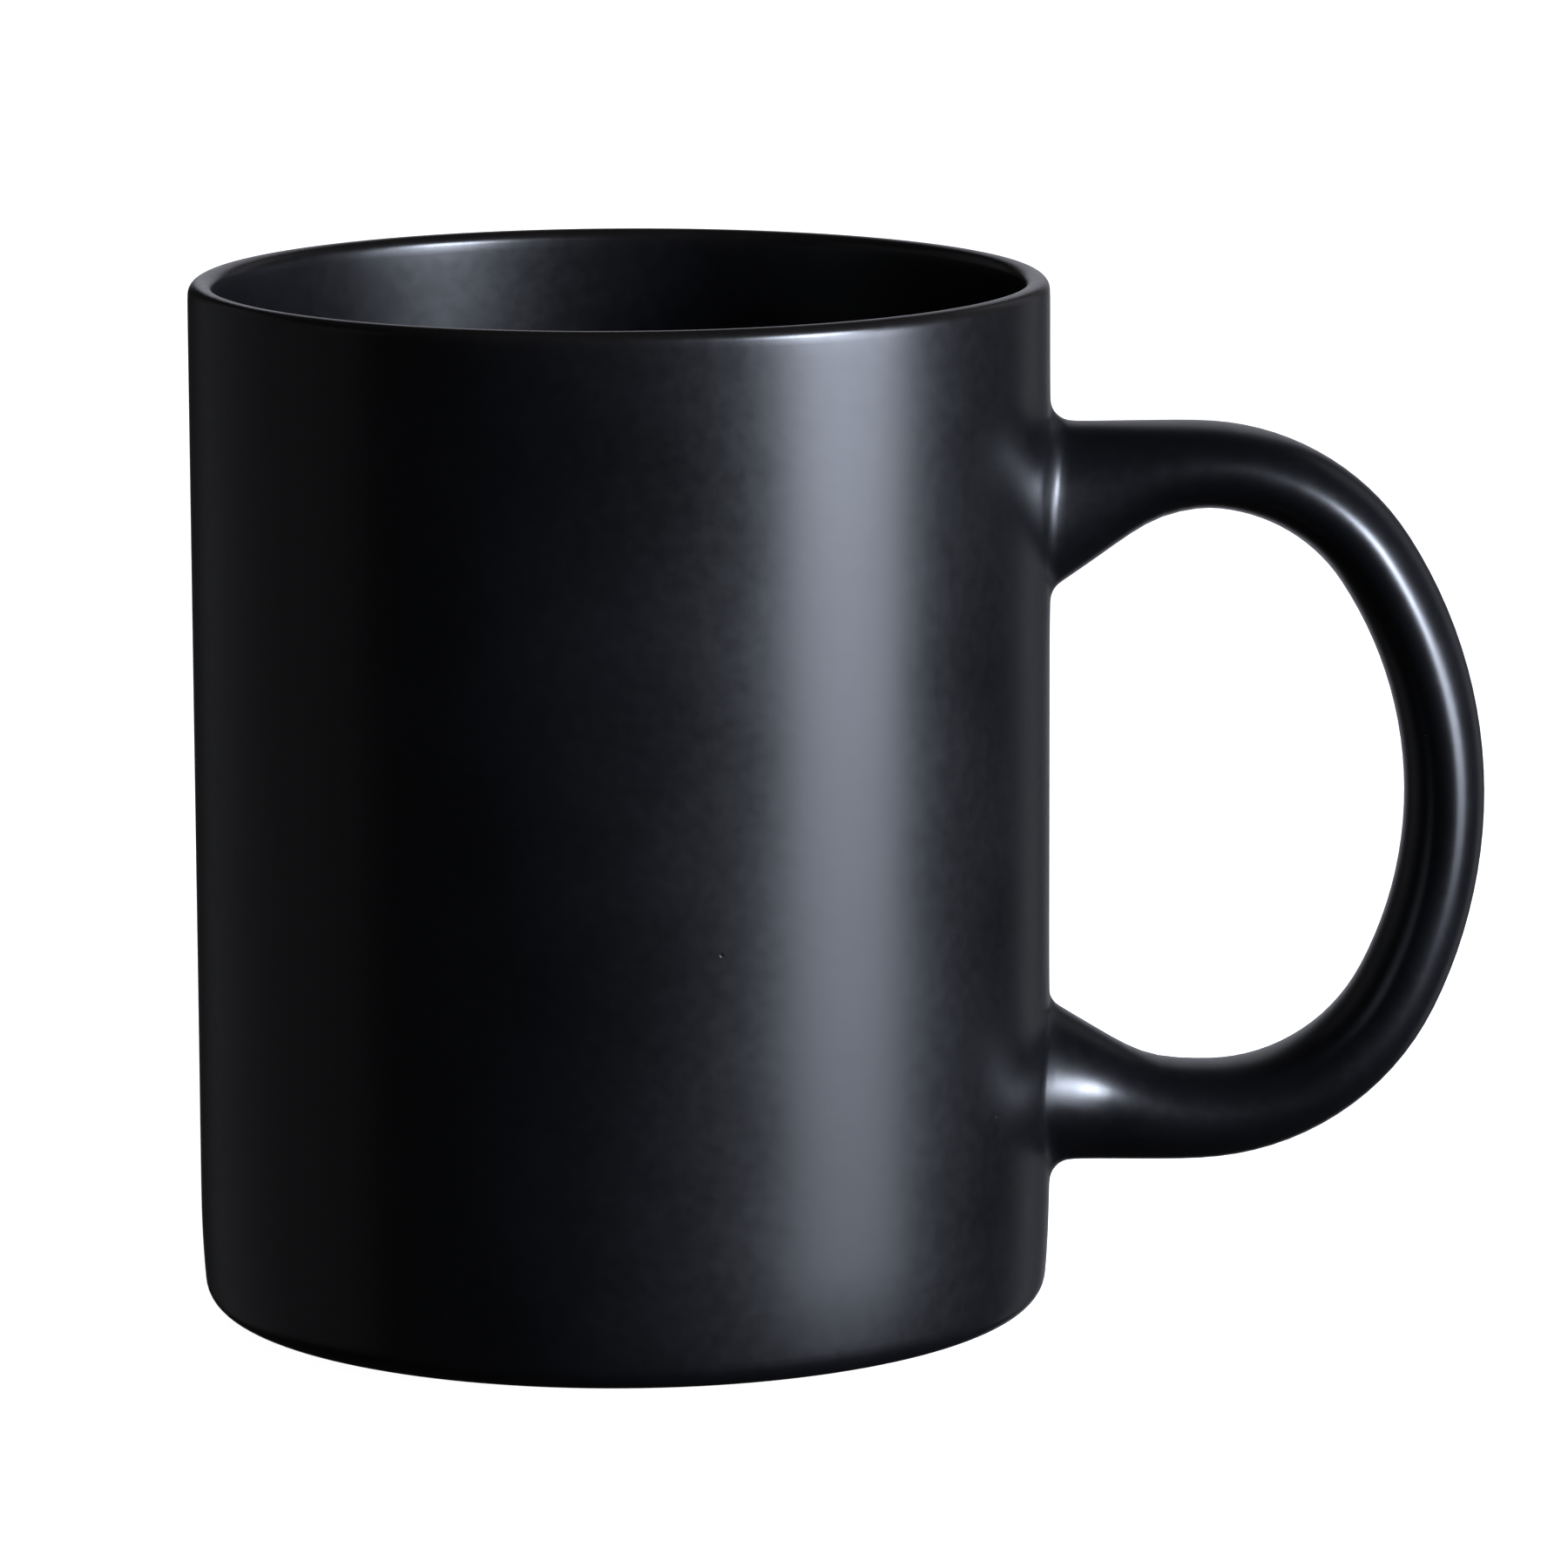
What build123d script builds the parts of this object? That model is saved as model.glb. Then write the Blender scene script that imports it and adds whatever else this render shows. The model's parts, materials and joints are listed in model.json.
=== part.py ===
from build123d import *
import os
from math import cos, radians, sin, sqrt, tan

# A straight-sided stoneware mug with a D-shaped handle, glazed matte black.
# Origin: centre of the foot, on the surface that the mug stands on.
# +Z up through the mouth, +X towards the handle. All sizes in millimetres.

# Cup
rim_diameter = 82.0
mug_height = 99.5
rim_thickness = 2.4         # glazed, from side to side
taper_top = 78.0            # below this height the inside narrows, so that the wall thickens
taper_angle = 1.5           # by this many degrees
floor_height = 6.5          # inside floor above the table
floor_corner = 8.0          # inside radius between wall and floor
glaze = 0.4                 # thickness of the fired glaze

# Base
body_lift = 0.6             # the body stands this far above the table, on its foot ring
corner_radius = 2.5         # round edge at the bottom of the wall
draft_top = 11.0            # below this height the wall curves in gently
draft_angle = 4.5           # and is tilted this much, in degrees, where the round edge starts
foot_outer = 35.5
foot_inner = 31.9
foot_edge = 0.4             # rounded edges of the foot ring
glaze_line = 36.5           # radius at which the outer glaze stops under the body
recess_height = 2.2         # glazed ceiling under the base, above the table
recess_corner = 1.2
foot_glaze_line = 0.9       # height at which the glaze stops inside the foot ring

# Handle
handle_top = 85.4           # height of its upper side
handle_bottom = 13.65       # height of its lower side
back_centre = (36.7, 49.0)  # centre of the long curve of the grip, as x and z
back_radius = 42.3          # to the middle of the grip
upper_bend = 20.3
lower_bend = 21.3
upper_thickness = 8.3
grip_thickness = 7.7
lower_thickness = 9.5
grip_width = 14.4
grip_thickening = 2.2        # how late the grip thickens towards its bends
upper_root_width = 17.0     # the handle widens in a curve towards its ends, drawn inside the wall
lower_root_width = 24.0
upper_flare = 8.4           # the handle's inner side flares out by this much at its end
upper_flare_start = 54.5    # and starts to do so here, as x
lower_flare = 6.5
lower_flare_start = 53.0
joint_gap = 0.6             # slip between the wall and the end of the handle
root_fillet = 2.2           # smoothed slip around the roots, measured on the glaze
grip_stations = 11
root_inside = 38.0          # the raw handle is drawn this far into the wall, then trimmed
root_stations = 4
root_step = 4.0
root_widening = 2           # after this many steps it is as narrow as the grip

# Worked out from those
outer_radius = rim_diameter / 2
mouth_radius = outer_radius - rim_thickness
rim_radius = rim_thickness / 2
rim_middle = outer_radius - rim_radius
rim_start = mug_height - rim_radius
draft = radians(draft_angle)
corner_height = body_lift + corner_radius
draft_radius = (draft_top - corner_height) / sin(draft) + corner_radius
corner_x = outer_radius - draft_radius + (draft_radius - corner_radius) * cos(draft)
clay_radius = outer_radius - glaze
taper = radians(taper_angle)
floor_corner_z = floor_height + floor_corner
taper_drop = taper_top - floor_corner_z + floor_corner * sin(taper)
floor_corner_x = mouth_radius - taper_drop * tan(taper) - floor_corner * cos(taper)
upper_run = handle_top - upper_thickness / 2
lower_run = handle_bottom + lower_thickness / 2


def turned(edges):
    # A solid of revolution, with its seam on the side away from the handle
    return Rot(0, 0, 180) * revolve(Plane.XZ * make_face(edges), Axis.Z)


def outside(inset, start):
    # Outside of the wall, from under the body up to the crest of the rim
    height = body_lift + inset
    centre = (outer_radius - draft_radius, draft_top)
    wall = outer_radius - inset
    return [
        Line((start, height), (corner_x, height)),
        CenterArc((corner_x, corner_height), corner_radius - inset, -90, 90 - draft_angle),
        CenterArc(centre, draft_radius - inset, -draft_angle, draft_angle),
        Line((wall, draft_top), (wall, rim_start)),
        CenterArc((rim_middle, rim_start), rim_radius - inset, 0, 90),
    ]


def inside(inset):
    # Inside of the cup, from the crest of the rim down to the middle of the floor
    wall = mouth_radius + inset
    corner = floor_corner + inset
    narrowing = (wall, taper_top - inset * tan(taper / 2))
    corner_start = (floor_corner_x + corner * cos(taper), floor_corner_z - corner * sin(taper))
    return [
        CenterArc((rim_middle, rim_start), rim_radius - inset, 90, 90),
        Line((wall, rim_start), narrowing),
        Line(narrowing, corner_start),
        CenterArc((floor_corner_x, floor_corner_z), corner, -taper_angle, taper_angle - 90),
        Line((floor_corner_x, floor_height - inset), (0, floor_height - inset)),
    ]


def under_base(inset, end):
    # Recess under the base, from its middle out and down the inside of the foot ring
    ceiling = recess_height + inset
    side = foot_inner - glaze + inset
    corner_middle = (side - recess_corner - inset, ceiling - recess_corner - inset)
    return [
        Line((0, ceiling), (corner_middle[0], ceiling)),
        CenterArc(corner_middle, recess_corner + inset, 90, -90),
        Line((side, corner_middle[1]), (side, end)),
    ]


def stoneware_cup():
    foot = [
        CenterArc((foot_inner + foot_edge, foot_edge), foot_edge, 180, 90),
        Line((foot_inner + foot_edge, 0), (foot_outer - foot_edge, 0)),
        CenterArc((foot_outer - foot_edge, foot_edge), foot_edge, -90, 90),
        Line((foot_outer, foot_edge), (foot_outer, body_lift + glaze)),
    ]
    axis = Line((0, floor_height - glaze), (0, recess_height + glaze))
    body = outside(glaze, foot_outer) + inside(glaze)
    return turned(under_base(glaze, foot_edge) + foot + body + [axis])


def liner_glaze():
    crest = Line((rim_middle, mug_height - glaze), (rim_middle, mug_height))
    middle = Line((0, floor_height), (0, floor_height - glaze))
    return turned(inside(0) + inside(glaze) + [crest, middle])


def base_glaze():
    side = foot_inner - glaze
    edge = Line((side, foot_glaze_line), (foot_inner, foot_glaze_line))
    middle = Line((0, recess_height), (0, recess_height + glaze))
    return turned(under_base(0, foot_glaze_line) + under_base(glaze, foot_glaze_line) + [edge, middle])


def oval(x, z, direction, thickness, width, inset):
    # One section across the handle, square to its direction in the XZ plane
    plane = Plane(origin=(x, 0, z), x_dir=(0, 1, 0), z_dir=(direction.X, 0, direction.Y))
    return plane * Ellipse(width / 2 - inset, thickness / 2 - inset)


def grip_line():
    # Middle of the grip: the upper bend, the long back and the lower bend, all tangent
    back_x, back_z = back_centre
    rise = upper_run - upper_bend - back_z
    drop = back_z - lower_run - lower_bend
    upper_x = back_x + sqrt((back_radius - upper_bend) ** 2 - rise**2)
    lower_x = back_x + sqrt((back_radius - lower_bend) ** 2 - drop**2)
    upper_turn = Vector(upper_x - back_x, rise).get_angle(Vector(1, 0))
    lower_turn = Vector(lower_x - back_x, -drop).get_angle(Vector(1, 0))
    return Wire([
        CenterArc((upper_x, upper_run - upper_bend), upper_bend, 90, upper_turn - 90),
        CenterArc(back_centre, back_radius, upper_turn, -upper_turn - lower_turn),
        CenterArc((lower_x, lower_run + lower_bend), lower_bend, -lower_turn, lower_turn - 90),
    ])


def thickness_at(part):
    # Thins from the upper bend to the back of the grip, then thickens to the lower bend
    bend = upper_thickness if part < 0.5 else lower_thickness
    return grip_thickness + (bend - grip_thickness) * abs(2 * part - 1) ** grip_thickening


def root_ovals(inset, outer_side, hole_side, direction, flare, flare_start, root_width):
    # Sections near the wall, which grow towards it on the finger hole's side, in an S curve
    sections = []
    for step in range(root_stations):
        x = root_inside + step * root_step
        along = (flare_start - x) / (flare_start - root_inside)
        hole = hole_side - direction * flare * (3 * along**2 - 2 * along**3)
        width = grip_width + (root_width - grip_width) * max(0, 1 - step / root_widening) ** 2
        thickness = abs(outer_side - hole)
        middle = (outer_side + hole) / 2
        sections.append(oval(x, middle, Vector(direction, 0), thickness, width, inset))
    return sections


def raw_handle(inset):
    line = grip_line()
    upper_side = handle_top - upper_thickness
    ovals = root_ovals(inset, handle_top, upper_side, 1, upper_flare, upper_flare_start, upper_root_width)
    for station in range(grip_stations):
        part = station / (grip_stations - 1)
        point = line @ part
        ovals.append(oval(point.X, point.Y, line % part, thickness_at(part), grip_width, inset))
    lower_side = handle_bottom + lower_thickness
    lower = root_ovals(inset, handle_bottom, lower_side, -1, lower_flare, lower_flare_start, lower_root_width)
    return loft(ovals + lower[::-1])


def with_handle(block, inset):
    # The outside of the cup and its handle in one, with smoothed roots
    joined = block + raw_handle(inset)
    wall = outer_radius - inset
    roots = [
        edge for edge in joined.edges()
        if all(abs(Vector((edge @ t).X, (edge @ t).Y).length - wall) < 0.01 for t in (0, 0.3, 0.6))
        and handle_bottom - 5 < (edge @ 0.3).Z < handle_top + 5
        and edge.bounding_box().size.Y > 1
    ]
    return fillet(roots, root_fillet + inset)


def glazed_block():
    # Glazed outside of the wall, with a core that the clay fills
    shelf = draft_top
    core = [
        Line((rim_middle, mug_height), (rim_middle, shelf)),
        Line((rim_middle, shelf), (glaze_line, shelf)),
        Line((glaze_line, shelf), (glaze_line, body_lift)),
    ]
    return turned(outside(0, glaze_line) + core)


def clay_block():
    # Unglazed outside of the wall, filled in to a smaller radius than the real wall
    crest = mug_height - glaze
    core = [
        Line((rim_middle, crest), (foot_inner, crest)),
        Line((foot_inner, crest), (foot_inner, body_lift + glaze)),
    ]
    return turned(outside(glaze, foot_inner) + core)


def build():
    clay = clay_block()
    joined_clay = with_handle(clay, glaze)
    wall_zone = Cylinder(clay_radius + joint_gap, 3 * mug_height)
    handle = raw_handle(glaze) - wall_zone
    slips = joined_clay - clay - handle
    upper_slip, lower_slip = slips.solids().sort_by(Axis.Z)[::-1][:2]
    outer_glaze = with_handle(glazed_block(), 0) - joined_clay
    return {
        "stoneware_cup": stoneware_cup(),
        "handle": handle,
        "upper_handle_slip": upper_slip,
        "lower_handle_slip": lower_slip,
        "outer_glaze": outer_glaze,
        "liner_glaze": liner_glaze(),
        "base_glaze": base_glaze(),
    }


os.makedirs("parts", exist_ok=True)
for name, shape in build().items():
    export_step(shape, f"parts/{name}.step")
    print(name, len(shape.solids()), "solid", round(shape.volume / 1000, 2), "ml")
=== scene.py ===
import json
import math

import bmesh
import bpy
from mathutils import Matrix, Vector


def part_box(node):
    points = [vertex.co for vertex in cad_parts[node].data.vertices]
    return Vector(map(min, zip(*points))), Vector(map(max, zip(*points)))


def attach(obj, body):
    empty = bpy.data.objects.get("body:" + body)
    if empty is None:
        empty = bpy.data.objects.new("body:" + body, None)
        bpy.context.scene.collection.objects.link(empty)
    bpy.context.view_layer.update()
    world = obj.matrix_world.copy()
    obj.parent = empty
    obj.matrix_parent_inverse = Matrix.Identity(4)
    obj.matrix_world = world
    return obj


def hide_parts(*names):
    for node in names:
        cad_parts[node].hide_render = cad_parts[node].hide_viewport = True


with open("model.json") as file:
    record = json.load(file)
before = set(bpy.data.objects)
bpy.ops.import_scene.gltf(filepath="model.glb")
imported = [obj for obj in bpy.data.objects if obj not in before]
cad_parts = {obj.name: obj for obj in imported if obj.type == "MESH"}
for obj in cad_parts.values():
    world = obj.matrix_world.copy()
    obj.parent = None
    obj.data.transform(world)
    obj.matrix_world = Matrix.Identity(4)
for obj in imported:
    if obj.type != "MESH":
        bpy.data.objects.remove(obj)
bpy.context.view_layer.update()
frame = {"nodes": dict(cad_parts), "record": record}  # bodies, nodes, joints, record
mm = 0.001

# Sizes that every piece shares, from the frame
mounts = {mount["name"]: mount for mount in frame["record"]["mounts"]}
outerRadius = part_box("outer_glaze")[1].y
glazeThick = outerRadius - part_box("stoneware_cup")[1].y
mouthRadius = mounts["mouth"]["dims"]["r_mm"] * mm
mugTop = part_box("liner_glaze")[1].z
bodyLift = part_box("outer_glaze")[0].z  # the glazed body stands this far above the table
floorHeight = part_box("liner_glaze")[0].z + glazeThick
print("frame loaded, rim", round(2 * outerRadius / mm, 1), "mm wide,", round(mugTop / mm, 1), "mm high")


# ---- small helpers

def linear(hexColour):
    channels = [int(hexColour[i:i + 2], 16) / 255 for i in (1, 3, 5)]
    return [c / 12.92 if c <= 0.04045 else ((c + 0.055) / 1.055) ** 2.4 for c in channels] + [1]


def arc(centre, radius, start, turn, steps):
    # points along an arc in the plane of the profile, angles in degrees, without its first point
    angles = [math.radians(start + turn * step / steps) for step in range(1, steps + 1)]
    return [(centre[0] + radius * math.cos(a), centre[1] + radius * math.sin(a)) for a in angles]


def straight(start, end, steps):
    # points along a straight stretch, without its first point
    spread = [step / steps for step in range(1, steps + 1)]
    return [(start[0] + (end[0] - start[0]) * t, start[1] + (end[1] - start[1]) * t) for t in spread]


def spinProfile(mesh, points, steps):
    # turns a profile of (radius, height) points once round the axis
    verts = [mesh.verts.new((r, 0, z)) for r, z in points]
    edges = [mesh.edges.new(pair) for pair in zip(verts, verts[1:])]
    bmesh.ops.spin(mesh, geom=verts + edges, cent=(0, 0, 0), axis=(0, 0, 1), dvec=(0, 0, 0),
                   angle=math.tau, steps=steps, use_merge=True, use_duplicate=False)
    bmesh.ops.remove_doubles(mesh, verts=mesh.verts, dist=0.001 * mm)


def makePiece(name, mesh, material, slot, *replaced):
    data = bpy.data.meshes.new(name)
    bmesh.ops.recalc_face_normals(mesh, faces=mesh.faces)
    for face in mesh.faces:
        face.smooth = True
    mesh.to_mesh(data)
    mesh.free()
    piece = bpy.data.objects.new(name, data)
    bpy.context.scene.collection.objects.link(piece)
    data.materials.append(material)
    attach(piece, "root")
    if replaced:
        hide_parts(*replaced)
    return piece


def subdivide(piece, levels):
    modifier = piece.modifiers.new("Subdivision", "SUBSURF")
    modifier.levels = modifier.render_levels = levels


def thicken(piece, thickness):
    modifier = piece.modifiers.new("Glaze thickness", "SOLIDIFY")
    modifier.thickness = thickness
    modifier.offset = -1
    modifier.use_even_offset = True


def addNode(tree, kind, settings=None, **links):
    # one node: settings are its properties and socket values, links are the sockets that feed it
    node = tree.nodes.new(kind)
    for key, value in (settings or {}).items():
        if key in node.inputs:
            node.inputs[key].default_value = value
        else:
            setattr(node, key, value)
    for key, source in links.items():
        tree.links.new(source, node.inputs[key.replace("_", " ")])
    return node


# ---- materials

noiseRange = {"From Min": 0.3, "From Max": 0.7}  # nearly all of a noise's values lie between these

glazeLook = {
    "black": "#070709",        # where the glaze is at its usual depth
    "thin": "#14110f",         # over edges it thins and the iron in the clay warms it
    "pooled": "#040406",       # in corners it gathers, darker and drier
    "roughness": 0.305,
    "thinRoughness": -0.03,    # added where it is thin
    "pooledRoughness": 0.07,   # and where it gathers and grows more crystals
    "unevenness": 0.02,        # how far the clouds and the crystal patches each move the roughness
    "cloudShade": (0.75, 1.3),
    "cloud": 17 * mm,          # size of the soft clouds that dipping leaves
    "mottle": 1.4 * mm,        # size of the crystal patches that make a glaze matte
    "grain": 0.22 * mm,        # finer in truth, drawn as coarse as it needs to show
    "ripple": 26 * mm,         # long unevenness of the coat
    "pinholes": 11 * mm,       # distance between pinholes
    "pinholeEdge": (0.010, 0.022),  # radius of a pinhole's bottom and top, as parts of that distance
}


def satinBlackGlaze():
    # Stoneware glaze, dipped and fired to a satin matte black: tiny crystals spread the light into
    # one broad soft band, with clouds of slightly drier and wetter gloss and a few pinholes.
    look = glazeLook
    material = bpy.data.materials.new("dippedSatinBlackStonewareGlaze")
    material.use_nodes = True
    tree = material.node_tree
    shader = tree.nodes["Principled BSDF"]
    shader.inputs["IOR"].default_value = 1.5
    place = addNode(tree, "ShaderNodeTexCoord").outputs["Object"]
    depth = addNode(tree, "ShaderNodeAttribute", {"attribute_name": "glazeDepth"}).outputs["Fac"]
    cloud = addNode(tree, "ShaderNodeTexNoise", {"Scale": 1 / look["cloud"], "Detail": 3}, Vector=place)
    mottle = addNode(tree, "ShaderNodeTexNoise", {"Scale": 1 / look["mottle"], "Detail": 4}, Vector=place)
    grain = addNode(tree, "ShaderNodeTexNoise", {"Scale": 1 / look["grain"], "Detail": 2}, Vector=place)
    ripple = addNode(tree, "ShaderNodeTexNoise", {"Scale": 1 / look["ripple"], "Detail": 1}, Vector=place)
    cells = addNode(tree, "ShaderNodeTexVoronoi", {"Scale": 1 / look["pinholes"]}, Vector=place)
    bottom, top = look["pinholeEdge"]
    pinholes = addNode(tree, "ShaderNodeMapRange", {"From Min": bottom, "From Max": top},
                       Value=cells.outputs["Distance"])

    # colour: warmer where thin, darker where pooled, and uneven with the clouds
    ramped = addNode(tree, "ShaderNodeMapRange", {"From Min": -1, "From Max": 1}, Value=depth)
    shade = addNode(tree, "ShaderNodeValToRGB", Fac=ramped.outputs["Result"])
    shade.color_ramp.elements[0].color = linear(look["thin"])
    shade.color_ramp.elements[1].color = linear(look["pooled"])
    shade.color_ramp.elements.new(0.5).color = linear(look["black"])
    darkest, palest = look["cloudShade"]
    clouded = addNode(tree, "ShaderNodeMapRange", {**noiseRange, "To Min": darkest, "To Max": palest},
                      Value=cloud.outputs["Fac"])
    colour = addNode(tree, "ShaderNodeVectorMath", {"operation": "SCALE"}, Scale=clouded.outputs["Result"])
    tree.links.new(shade.outputs["Color"], colour.inputs[0])
    tree.links.new(colour.outputs["Vector"], shader.inputs["Base Color"])

    # roughness: its usual value, changed by the depth, the clouds and the crystal patches
    roughness = addNode(tree, "ShaderNodeMapRange", {
        "From Min": -1, "To Min": look["roughness"] + look["thinRoughness"],
        "From Max": 1, "To Max": look["roughness"] + look["pooledRoughness"]}, Value=depth).outputs["Result"]
    for noise in (cloud, mottle):
        uneven = addNode(tree, "ShaderNodeMapRange", {
            **noiseRange, "To Min": -look["unevenness"], "To Max": look["unevenness"]},
            Value=noise.outputs["Fac"])
        total = addNode(tree, "ShaderNodeMath", {"operation": "ADD"})
        tree.links.new(roughness, total.inputs[0])
        tree.links.new(uneven.outputs["Result"], total.inputs[1])
        roughness = total.outputs["Value"]
    tree.links.new(roughness, shader.inputs["Roughness"])

    # bump: long ripples, crystal patches, fine grain, then pinholes
    normal = None
    for height, distance, strength in (
        (ripple.outputs["Fac"], 0.12 * mm, 0.5),
        (mottle.outputs["Fac"], 0.012 * mm, 0.5),
        (grain.outputs["Fac"], 0.004 * mm, 0.5),
        (pinholes.outputs["Result"], 0.05 * mm, 0.6),
    ):
        bump = addNode(tree, "ShaderNodeBump", {"Strength": strength, "Distance": distance}, Height=height)
        if normal:
            tree.links.new(normal, bump.inputs["Normal"])
        normal = bump.outputs["Normal"]
    tree.links.new(normal, shader.inputs["Normal"])
    return material


clayLook = {
    "light": "#a3957f",
    "dark": "#83755f",
    "speck": "#3d2c20",        # iron in the clay
    "cloud": 9 * mm,           # size of the paler and darker clouds
    "grit": 0.5 * mm,
    "specks": 1.3 * mm,        # distance between specks
    "speckEdge": (0.09, 0.16),  # their dark and pale radius, as parts of that distance
    "blend": (0.35, 0.65),     # where the clouds turn from dark to light
    "dryness": (0.78, 0.92),   # roughness of the lowest and highest grit
}


def bareStoneware(name, grain):
    # Buff stoneware, wheel-finished and fired without glaze: dry, matt, slightly gritty to the
    # touch, with specks of iron. The slip that joins the handle is the same clay, sieved finer:
    # grain is the size of its grit and specks beside the body clay's.
    look = clayLook
    material = bpy.data.materials.new(name)
    material.use_nodes = True
    tree = material.node_tree
    shader = tree.nodes["Principled BSDF"]
    place = addNode(tree, "ShaderNodeTexCoord").outputs["Object"]
    cloud = addNode(tree, "ShaderNodeTexNoise", {"Scale": 1 / look["cloud"], "Detail": 4}, Vector=place)
    gritSize, specksApart = look["grit"] * grain, look["specks"] * grain
    grit = addNode(tree, "ShaderNodeTexNoise", {"Scale": 1 / gritSize, "Detail": 5}, Vector=place)
    specks = addNode(tree, "ShaderNodeTexVoronoi", {"Scale": 1 / specksApart}, Vector=place)
    tint = addNode(tree, "ShaderNodeValToRGB", Fac=cloud.outputs["Fac"])
    for element, position, colour in zip(tint.color_ramp.elements, look["blend"], ("dark", "light")):
        element.position = position
        element.color = linear(look[colour])
    inner, outer = look["speckEdge"]
    iron = addNode(tree, "ShaderNodeMapRange", {
        "From Min": inner, "From Max": outer, "To Min": 1, "To Max": 0}, Value=specks.outputs["Distance"])
    speckled = addNode(tree, "ShaderNodeMix", {"data_type": "RGBA"})
    speckled.inputs[7].default_value = linear(look["speck"])
    tree.links.new(iron.outputs["Result"], speckled.inputs[0])
    tree.links.new(tint.outputs["Color"], speckled.inputs[6])
    tree.links.new(speckled.outputs[2], shader.inputs["Base Color"])
    least, most = look["dryness"]
    dryness = addNode(tree, "ShaderNodeMapRange", {"To Min": least, "To Max": most},
                      Value=grit.outputs["Fac"])
    tree.links.new(dryness.outputs["Result"], shader.inputs["Roughness"])
    bump = addNode(tree, "ShaderNodeBump", {"Strength": 0.6, "Distance": gritSize / 10},
                   Height=grit.outputs["Fac"])
    tree.links.new(bump.outputs["Normal"], shader.inputs["Normal"])
    return material


glazeMaterial = satinBlackGlaze()
stonewareMaterial = bareStoneware("bareFiredBuffStoneware", 1)
slipMaterial = bareStoneware("firedJoiningSlip", 0.6)
print("materials made")

# ---- the cup's outline, which its clay and its glaze share

cup = {
    "cornerRadius": 2.5 * mm,   # round edge at the bottom of the wall
    "draftTop": 11.0 * mm,      # below this height the wall curves in gently
    "draftAngle": 4.5,          # degrees of tilt where the round edge starts
    "wallRows": 26,
    "taperTop": 78.0 * mm,      # below this height the inside narrows
    "taperAngle": 1.5,
    "floorCorner": 8.0 * mm,
}
draftSine = math.sin(math.radians(cup["draftAngle"]))
cornerHeight = bodyLift + cup["cornerRadius"]
draftRadius = (cup["draftTop"] - cornerHeight) / draftSine + cup["cornerRadius"]
cornerX = (outerRadius - draftRadius
           + (draftRadius - cup["cornerRadius"]) * math.cos(math.radians(cup["draftAngle"])))
rimRadius = (outerRadius - mouthRadius) / 2
rimStart = mugTop - rimRadius


def outsideProfile(inset, start):
    # from under the body, up the outside of the wall to the crest of the rim
    points = straight((start, bodyLift + inset), (cornerX, bodyLift + inset), 2)
    points += arc((cornerX, cornerHeight), cup["cornerRadius"] - inset, -90, 90 - cup["draftAngle"], 6)
    points += arc((outerRadius - draftRadius, cup["draftTop"]), draftRadius - inset,
                  -cup["draftAngle"], cup["draftAngle"], 3)
    points += straight(points[-1], (outerRadius - inset, rimStart), cup["wallRows"])
    return points + arc((outerRadius - rimRadius, rimStart), rimRadius - inset, 0, 90, 5)


def insideProfile(inset):
    # from the crest of the rim, down the inside of the wall to the middle of the floor
    taper = math.radians(cup["taperAngle"])
    corner, cornerZ = cup["floorCorner"] + inset, floorHeight + cup["floorCorner"]
    drop = cup["taperTop"] - cornerZ + cup["floorCorner"] * math.sin(taper)
    floorX = mouthRadius - drop * math.tan(taper) - cup["floorCorner"] * math.cos(taper)
    wall = mouthRadius + inset
    narrowing = (wall, cup["taperTop"] - inset * math.tan(taper / 2))
    points = arc((outerRadius - rimRadius, rimStart), rimRadius - inset, 90, 90, 5)
    points += straight(points[-1], narrowing, 5)
    points += straight(narrowing, (floorX + corner * math.cos(taper), cornerZ - corner * math.sin(taper)), 12)
    points += arc((floorX, cornerZ), corner, -cup["taperAngle"], cup["taperAngle"] - 90, 6)
    return points + straight(points[-1], (0, floorHeight - inset), 5)


# ---- clay: the thrown cup with its foot ring, and the CAD's handle and slip joints

foot = {"outer": 35.5 * mm, "edge": 0.4 * mm, "recessCorner": 1.2 * mm}
foot["inner"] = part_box("base_glaze")[1].x
foot["ceiling"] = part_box("base_glaze")[1].z  # of the clay, above the glaze in the recess


def recessProfile(inset, end):
    # from the middle of the recess under the base, out and down the inside of the foot ring
    ceiling, side = foot["ceiling"] - inset, foot["inner"] - inset
    radius = foot["recessCorner"] + glazeThick - inset
    points = [(0, ceiling)] + straight((0, ceiling), (side - radius, ceiling), 5)
    points += arc((side - radius, ceiling - radius), radius, 90, -90, 5)
    return points + [(side, end)]


def stonewareCup():
    edge = foot["edge"]
    points = recessProfile(0, edge)
    points += arc((foot["inner"] + edge, edge), edge, 180, 90, 3)
    points += straight(points[-1], (foot["outer"] - edge, 0), 2)
    points += arc((foot["outer"] - edge, edge), edge, -90, 90, 3)
    points += [(foot["outer"], bodyLift + glazeThick)]
    points += outsideProfile(glazeThick, foot["outer"]) + insideProfile(glazeThick)
    mesh = bmesh.new()
    spinProfile(mesh, points, 96)
    return makePiece("thrownStonewareCup", mesh, stonewareMaterial, "bare_stoneware", "stoneware_cup")


def recessGlaze():
    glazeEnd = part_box("base_glaze")[0].z
    mesh = bmesh.new()
    spinProfile(mesh, recessProfile(glazeThick, glazeEnd), 96)
    piece = makePiece("recessGlaze", mesh, glazeMaterial, "matte_black_glaze", "base_glaze")
    thicken(piece, -glazeThick)
    return piece


stonewareCup()
recessGlaze()
for name in ("handle", "upper_handle_slip", "lower_handle_slip"):
    for slot in frame["nodes"][name].material_slots:
        slot.material = stonewareMaterial if name == "handle" else slipMaterial
print("clay and recess glaze made")

# ---- glaze coat: one skin over the wall, the handle, the rim and the inside

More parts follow.
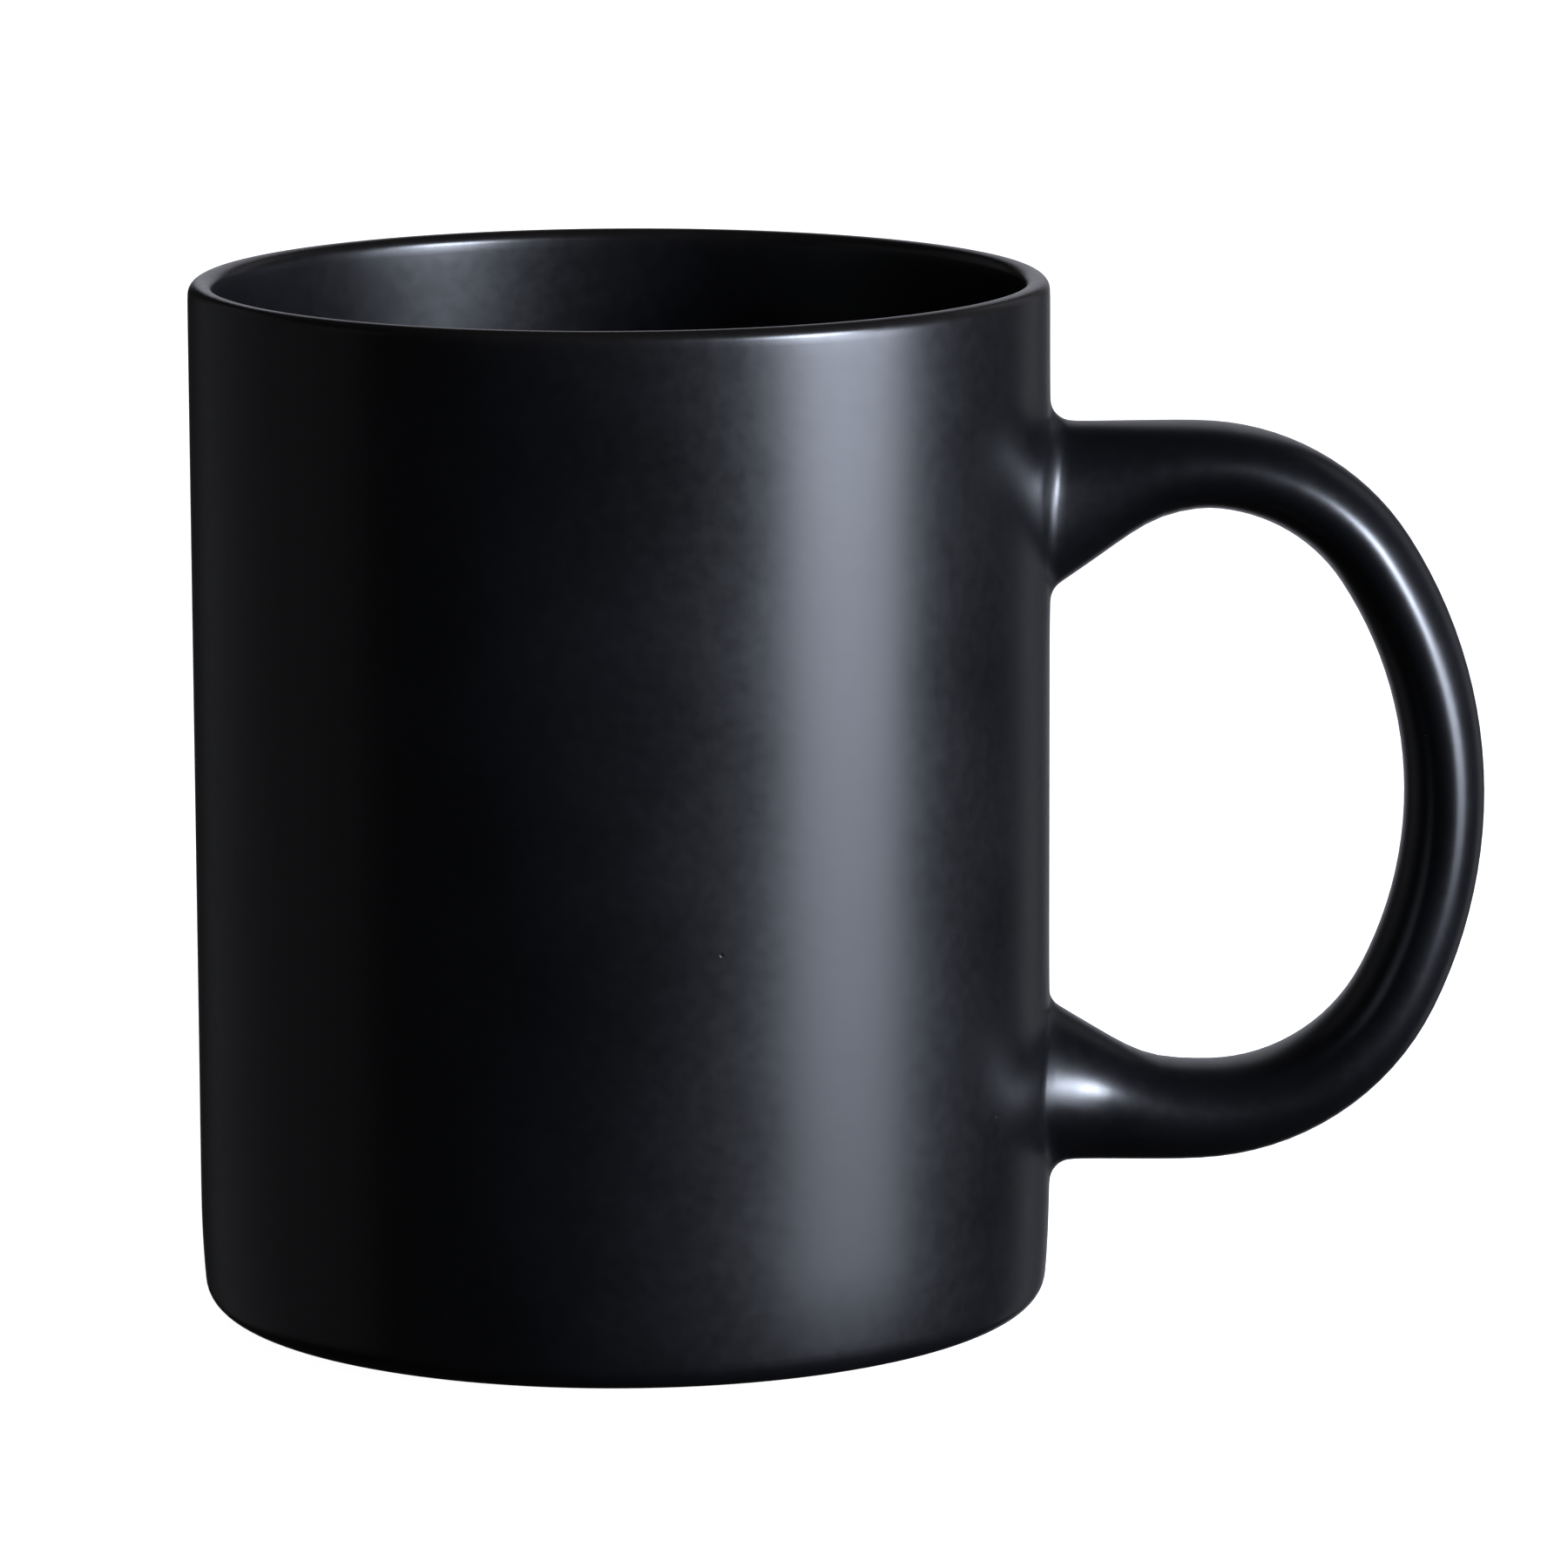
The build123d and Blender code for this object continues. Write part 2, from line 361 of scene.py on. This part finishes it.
coat = {
    "columns": 72,
    "glazeLine": 36.5 * mm,     # radius at which the glaze stops under the body
    "bead": 0.3 * mm,           # roll of the glaze at that line
    "thinRim": 1.3 * mm,        # the glaze thins this far down from the crest
    "pooledFloor": 5 * mm,      # and gathers this far up from the floor
    "floorDepth": 0.7,          # depths of the glaze there, and from the wall out along each root
    "rootDepth": (0, 0.4, 0.9, 1, 0.7, 0.3),
}
grip = {
    "backCentre": (36.7 * mm, 49.0 * mm),  # centre of the long curve of the grip, as x and z
    "upperBend": 20.3 * mm,
    "lowerBend": 21.3 * mm,
    "upperThick": 8.3 * mm,
    "backThick": 7.7 * mm,
    "lowerThick": 9.5 * mm,
    "width": 14.4 * mm,
    "upperRootWidth": 17.0 * mm,           # widths that the grip grows to inside the wall
    "lowerRootWidth": 24.0 * mm,
    "widening": 8.0 * mm,                  # length over which it does so
    "upperFlare": (8.4 * mm, 54.5 * mm),   # height gained on the inner side, and where it starts
    "lowerFlare": (6.5 * mm, 53.0 * mm),
    "flareEnd": 38.0 * mm,
    "fillet": 2.2 * mm,
    "collar": 1.1,                         # the ring on the wall round the fillet is this much larger
    "rootRings": (45.5 * mm, 48.5 * mm, 51.5 * mm),  # x of the rings between the fillet and the bend
    "blockColumns": 4,                     # half the width of the opening in the wall's grid
    "blockHeight": 13.5 * mm,              # half its height
    "thicken": 2.2,                        # how late the grip thickens towards its bends
}
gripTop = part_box("handle")[1].z + glazeThick
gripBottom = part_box("handle")[0].z - glazeThick
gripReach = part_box("outer_glaze")[1].x
backRadius = gripReach - grip["backThick"] / 2 - grip["backCentre"][0]


def coatProfile():
    bead = coat["bead"]
    points = [(coat["glazeLine"], bodyLift + bead)]
    points += arc((coat["glazeLine"] + bead, bodyLift + bead), bead, 180, 90, 3)
    return points + outsideProfile(0, points[-1][0]) + insideProfile(0)


def wallPoint(around, height):
    # a point on the outside of the wall, from its distance round from the handle's middle
    below = max(0, cup["draftTop"] - height)
    radius = outerRadius - below**2 / (2 * draftRadius)
    angle = around / outerRadius
    return Vector((radius * math.cos(angle), radius * math.sin(angle), height))


def section(centre, outward, thick, width, turn):
    # one point of the grip's oval section: turn 0 is its side, 90 degrees its outer face
    return centre + Vector((0, math.cos(turn) * width / 2, 0)) + outward * math.sin(turn) * thick / 2


def rootPoint(end, x, turn):
    # a point of the grip between the wall and the first bend; end is 1 at the top, -1 below
    flare, flareStart = grip["upperFlare"] if end > 0 else grip["lowerFlare"]
    outerSide = gripTop if end > 0 else gripBottom
    thick = grip["upperThick"] if end > 0 else grip["lowerThick"]
    along = min(1, max(0, (flareStart - x) / (flareStart - grip["flareEnd"])))
    thick += flare * along**2 * (3 - 2 * along)
    rootWidth = grip["upperRootWidth"] if end > 0 else grip["lowerRootWidth"]
    widened = max(0, 1 - (x - grip["flareEnd"]) / grip["widening"])
    width = grip["width"] + (rootWidth - grip["width"]) * widened**2
    return section(Vector((x, 0, outerSide - end * thick / 2)), Vector((0, 0, end)), thick, width, turn)


def rootMiddle(end):
    return (rootPoint(end, outerRadius, math.pi / 2).z + rootPoint(end, outerRadius, -math.pi / 2).z) / 2


def filletRings(end, turns):
    # from the wall to the grip: the wall round the root, the fillet's arc, then the grip
    rings = [[] for _ in range(6)]
    middle = rootMiddle(end)
    for turn in turns:
        x = outerRadius
        for _ in range(6):
            x = math.sqrt(outerRadius**2 - rootPoint(end, x, turn).y ** 2)
        meet = rootPoint(end, x, turn)
        around = outerRadius * math.atan2(meet.y, meet.x)
        away = Vector((around, meet.z - middle)).normalized()
        alongGrip = (rootPoint(end, x + mm, turn) - meet).normalized()
        alongWall = (wallPoint(around + away.x * mm, meet.z + away.y * mm) - meet).normalized()
        corner = alongGrip.angle(alongWall)
        reach = grip["fillet"] / math.tan(corner / 2)
        weight = math.sin(corner / 2)
        outAround, outHeight = around + away.x * reach, meet.z + away.y * reach
        onWall = wallPoint(outAround, outHeight)
        onGrip = rootPoint(end, x + alongGrip.x * reach, turn)
        collar = grip["collar"]
        rings[0].append(wallPoint(outAround * collar, middle + (outHeight - middle) * collar))
        for ring, t in enumerate((0, 0.25, 0.5, 0.75, 1), 1):
            parts = ((1 - t) ** 2, 2 * weight * t * (1 - t), t**2)
            rings[ring].append((onWall * parts[0] + meet * parts[1] + onGrip * parts[2]) / sum(parts))
    return rings


def gripRings(turns):
    # sections from the upper root round the bends to the lower root
    backX, backZ = grip["backCentre"]
    upperRun = gripTop - grip["upperThick"] / 2
    lowerRun = gripBottom + grip["lowerThick"] / 2
    upperZ, lowerZ = upperRun - grip["upperBend"], lowerRun + grip["lowerBend"]
    upperX = backX + math.sqrt((backRadius - grip["upperBend"]) ** 2 - (upperZ - backZ) ** 2)
    lowerX = backX + math.sqrt((backRadius - grip["lowerBend"]) ** 2 - (lowerZ - backZ) ** 2)
    upperTurn = math.degrees(math.atan2(upperZ - backZ, upperX - backX))
    lowerTurn = math.degrees(math.atan2(lowerZ - backZ, lowerX - backX))
    bends = [
        ((upperX, upperZ), grip["upperBend"], 90, upperTurn, 8),
        ((backX, backZ), backRadius, upperTurn, lowerTurn, 12),
        ((lowerX, lowerZ), grip["lowerBend"], lowerTurn, -90, 8),
    ]
    rings = [[rootPoint(1, x, turn) for turn in turns] for x in grip["rootRings"]]
    angles = [(centre, radius, math.radians(first + (last - first) * step / steps))
              for centre, radius, first, last, steps in bends for step in range(steps)]
    angles.append((bends[2][0], bends[2][1], math.radians(-90)))
    lengths = [0]
    for before, after in zip(angles, angles[1:]):
        lengths.append(lengths[-1] + before[1] * abs(after[2] - before[2]))
    for (centre, radius, angle), length in zip(angles, lengths):
        part = length / lengths[-1]
        bendThick = grip["upperThick"] if part < 0.5 else grip["lowerThick"]
        thick = grip["backThick"] + (bendThick - grip["backThick"]) * abs(2 * part - 1) ** grip["thicken"]
        outward = Vector((math.cos(angle), 0, math.sin(angle)))
        middle = Vector((centre[0], 0, centre[1])) + outward * radius
        rings.append([section(middle, outward, thick, grip["width"], turn) for turn in turns])
    return rings + [[rootPoint(-1, x, turn) for turn in turns] for x in grip["rootRings"][::-1]]


def openWall(mesh, end):
    # opens the wall's grid where the grip joins it, and numbers the rim of the opening from its
    # side at the finger hole
    halfTurn = math.radians(360 / coat["columns"]) * grip["blockColumns"]
    middle = rootMiddle(end)
    block = []
    for face in mesh.faces:
        centre = face.calc_center_median()
        if abs(math.atan2(centre.y, centre.x)) < halfTurn and abs(centre.z - middle) < grip["blockHeight"] \
                and math.hypot(centre.x, centre.y) > outerRadius - rimRadius:
            block.append(face)
    rim = {vert for face in block for vert in face.verts
           if any(other not in block for other in vert.link_faces)}
    bmesh.ops.delete(mesh, geom=block, context="FACES")
    heights = [vert.co.z for vert in rim]
    centre = (min(heights) + max(heights)) / 2
    start = math.radians(90.1)
    return sorted(rim, key=lambda v: (math.atan2(end * (v.co.z - centre), v.co.y) + start) % math.tau)


def rimEdges(ring):
    inside = set(ring)
    edges = {edge for vert in ring for edge in vert.link_edges}
    return [edge for edge in edges if edge.is_boundary and inside.issuperset(edge.verts)]


def growGrip(mesh, ring, rings, depths):
    # extrudes the opening's rim along the grip, ring by ring
    layer = mesh.verts.layers.float["glazeDepth"]
    for points, depth in zip(rings, depths):
        made = bmesh.ops.extrude_edge_only(mesh, edges=rimEdges(ring))["geom"]
        new = {item for item in made if isinstance(item, bmesh.types.BMVert)}
        ring = [next(edge.other_vert(vert) for edge in vert.link_edges if edge.other_vert(vert) in new)
                for vert in ring]
        for vert, point in zip(ring, points):
            vert.co = point
            vert[layer] = depth
    return ring


def glazeCoat():
    mesh = bmesh.new()
    spinProfile(mesh, coatProfile(), coat["columns"])
    layer = mesh.verts.layers.float.new("glazeDepth")
    for vert in mesh.verts:
        thin = 1 - (mugTop - vert.co.z) / coat["thinRim"]
        pooled = 1 - (vert.co.z - floorHeight) / coat["pooledFloor"]
        fromAxis = math.hypot(vert.co.x, vert.co.y)
        isInside = fromAxis < mouthRadius + rimRadius and vert.co.z > floorHeight - mm
        vert[layer] = max(0, pooled) * coat["floorDepth"] * isInside - max(0, thin)
    upperRim, lowerRim = openWall(mesh, 1), openWall(mesh, -1)
    print("handle openings", len(upperRim), "and", len(lowerRim), "points")
    turns = [math.tau * step / len(upperRim) - math.pi / 2 for step in range(len(upperRim))]
    root = coat["rootDepth"]  # the glaze gathers in the hollow of each root
    run = gripRings(turns)
    rings = filletRings(1, turns) + run + filletRings(-1, turns)[::-1]
    last = growGrip(mesh, upperRim, rings, root + (0,) * len(run) + root[::-1])
    bmesh.ops.bridge_loops(mesh, edges=rimEdges(last) + rimEdges(lowerRim))
    piece = makePiece("satinBlackGlazeCoat", mesh, glazeMaterial, "matte_black_glaze",
                      "outer_glaze", "liner_glaze")
    subdivide(piece, 1)
    thicken(piece, glazeThick)
    return piece


glazeCoat()
print("glaze coat made")

# ---- camera, floor and light

view = {
    "distance": 841.6 * mm,
    "height": 203.3 * mm,
    "pan": 1.054,
    "tilt": 10.29,
    "roll": -0.22,
    "lens": 204.7,
    "nearest": 50 * mm,
}
camera = bpy.data.objects.new("camera", bpy.data.cameras.new("camera"))
bpy.context.scene.collection.objects.link(camera)
bpy.context.scene.camera = camera
camera.data.lens = view["lens"]
camera.data.clip_start = view["nearest"]
camera.matrix_world = (
    Matrix.Translation((0, -view["distance"], view["height"]))
    @ Matrix.Rotation(math.radians(-view["pan"]), 4, "Z")
    @ Matrix.Rotation(math.radians(90 - view["tilt"]), 4, "X")
    @ Matrix.Rotation(math.radians(view["roll"]), 4, "Z")
)

paper = {
    "reach": 4000 * mm,  # from the middle to each side
    "colour": "#eeeeee",
    "roughness": 0.9,
    "glow": 0.98,        # it is lit from behind, so that shade stays faint
}
floorMesh = bmesh.new()
bmesh.ops.create_grid(floorMesh, x_segments=1, y_segments=1, size=paper["reach"])
floorData = bpy.data.meshes.new("floor")
floorMesh.to_mesh(floorData)
floorMesh.free()
floor = bpy.data.objects.new("floor", floorData)
bpy.context.scene.collection.objects.link(floor)
floor.visible_glossy = False  # a black glaze shows every pale thing round it, so the floor is kept out
floor.visible_diffuse = False
floor.visible_shadow = False  # the softboxes reach down past the edge of the table
floorMaterial = bpy.data.materials.new("whitePaper")
floorMaterial.use_nodes = True
floorShader = floorMaterial.node_tree.nodes["Principled BSDF"]
floorShader.inputs["Base Color"].default_value = linear(paper["colour"])
floorShader.inputs["Roughness"].default_value = paper["roughness"]
floorShader.inputs["Specular IOR Level"].default_value = 0
floorShader.inputs["Emission Color"].default_value = (1, 1, 1, 1)
floorShader.inputs["Emission Strength"].default_value = paper["glow"]
floorData.materials.append(floorMaterial)

studio = {
    "backdrop": 1.0,        # the white that the camera sees behind the mug
    "room": 0.03,           # what lights the mug from all round
    "darkRoom": 0.012,      # what its glaze reflects where there is no softbox
    "distance": 900 * mm,   # of every softbox from the mug's axis
}
world = bpy.data.worlds.new("studio")
bpy.context.scene.world = world
world.use_nodes = True
background = world.node_tree.nodes["Background"]
background.inputs["Color"].default_value = (1, 1, 1, 1)
path = addNode(world.node_tree, "ShaderNodeLightPath")
reflected = addNode(world.node_tree, "ShaderNodeMapRange",
                    {"To Min": studio["room"], "To Max": studio["darkRoom"]},
                    Value=path.outputs["Is Glossy Ray"])
seen = addNode(world.node_tree, "ShaderNodeMapRange", {"To Max": studio["backdrop"]},
               Value=path.outputs["Is Camera Ray"], To_Min=reflected.outputs["Result"])
world.node_tree.links.new(seen.outputs["Result"], background.inputs["Strength"])
bpy.context.scene.view_settings.view_transform = "Standard"


def softbox(name, azimuth, spread, low, high, brightness, colour):
    # an upright softbox round the mug: azimuth 0 is the camera's side, 90 the handle's; spread is
    # the angle it takes up, low and high are heights, and low may lie under the table's height
    light = bpy.data.lights.new(name, "AREA")
    light.shape = "RECTANGLE"
    light.size = 2 * studio["distance"] * math.tan(math.radians(spread / 2))
    light.size_y = high - low
    light.energy = brightness * math.pi * light.size * light.size_y
    light.color = linear(colour)[:3]
    lamp = bpy.data.objects.new(name, light)
    bpy.context.scene.collection.objects.link(lamp)
    turn = math.radians(azimuth)
    x, y = math.sin(turn) * studio["distance"], -math.cos(turn) * studio["distance"]
    lamp.location = (x, y, (low + high) / 2)
    lamp.rotation_euler = (math.radians(90), 0, turn)
    lamp.visible_camera = False


keyColour, fillColour = "#e3ecff", "#f1f3ff"
softbox("keyLow", 62, 31, 0, 200 * mm, 17.0, keyColour)
softbox("keyHigh", 52, 16, 200 * mm, 500 * mm, 76.0, keyColour)
softbox("tableGlow", 60, 33, -210 * mm, 0, 5.4, keyColour)
softbox("backLightRight", 140, 16, -450 * mm, 700 * mm, 0.25, fillColour)
softbox("backLightFar", 176, 32, -450 * mm, 700 * mm, 0.6, fillColour)
softbox("backLightLeft", -125, 46, -450 * mm, 700 * mm, 0.08, fillColour)
softbox("sideGlow", -85, 30, -450 * mm, 700 * mm, 0.1, fillColour)
print("camera and lights made")
